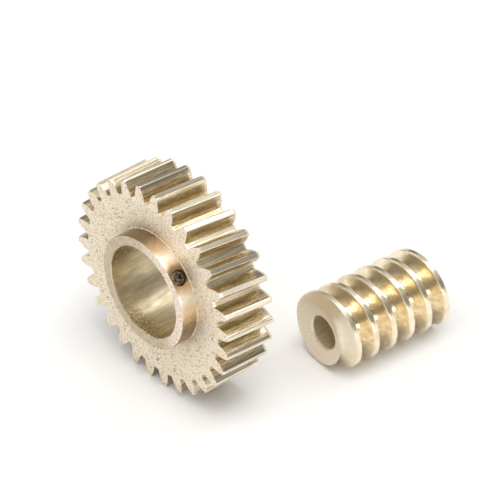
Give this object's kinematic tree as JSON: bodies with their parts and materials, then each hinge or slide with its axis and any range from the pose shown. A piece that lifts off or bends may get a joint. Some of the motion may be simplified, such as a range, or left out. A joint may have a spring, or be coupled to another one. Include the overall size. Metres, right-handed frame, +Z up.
{
  "type": "worm gear set",
  "caption": "Small brass worm gear set: a helical worm wheel with a thin hub, grub screw and plain bore, and a single-start worm with a through bore.",
  "frame": {"origin": "on the wheel's bore axis, in the middle plane of its teeth", "axes": "+Y along the wheel's bore, away from its hub; +Z up; the worm lies beside the wheel, on the same floor, towards +X and +Y"},
  "size_m": [0.0183, 0.0196, 0.016],
  "materials": {
    "wheel_brass": "cut brass: matt grained faces, bright tooth flanks and hub",
    "worm_brass": "turned brass, bright thread, satin end faces",
    "screw_steel": "dark oxide"
  },
  "bodies": {
    "wheel": {"worm_wheel": "wheel_brass"},
    "worm": {"worm": "worm_brass"},
    "screw": {"set_screw": "screw_steel"}
  },
  "joints": [
    {"name": "worm_spin", "type": "hinge", "parent": "wheel", "child": "worm", "pos_m": [0.00704, 0.01218, -0.00499], "axis": [0.0698, 0.9976, 0], "continuous": true},
    {"name": "set_screw_feed", "type": "slide", "parent": "wheel", "child": "screw", "axis": [0.7431, 0, 0.6691], "range_m": [-0.0002, 0.0004]}
  ]
}
